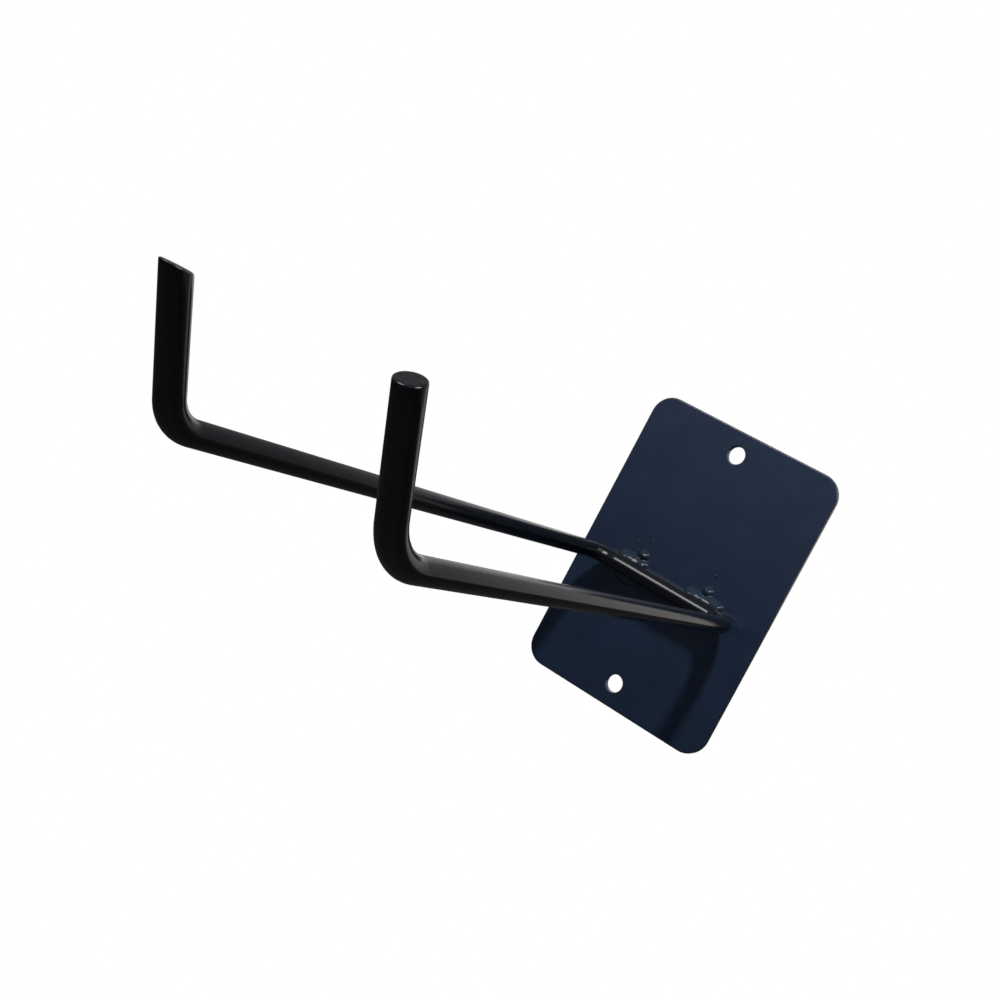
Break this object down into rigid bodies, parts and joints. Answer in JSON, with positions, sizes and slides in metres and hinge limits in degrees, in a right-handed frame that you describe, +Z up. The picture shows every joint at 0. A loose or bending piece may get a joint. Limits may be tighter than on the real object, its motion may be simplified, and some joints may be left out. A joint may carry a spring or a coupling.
{
  "type": "wall guitar hanger",
  "caption": "Wall hanger for a guitar: a rounded steel plate with screw holes and a welded U-shaped fork whose parallel arms end in upturned fingers.",
  "frame": {"origin": "centre of the plate's back face, on the wall", "axes": "+Z up, +Y into the wall, so the arms point along -Y; +X to the right seen from the room"},
  "size_m": [0.078, 0.2257, 0.11],
  "materials": {
    "plate_paint": "satin blue-black enamel",
    "bar_paint": "gloss black enamel",
    "weld_paint": "gloss blue-black enamel over rough weld"
  },
  "bodies": {
    "root": {"back_plate": "plate_paint", "fork_rod": "bar_paint", "weld_upper_left": "weld_paint", "weld_upper_right": "weld_paint", "weld_lower_left": "weld_paint", "weld_lower_right": "weld_paint", "weld_spatter": "weld_paint"}
  },
  "joints": []
}
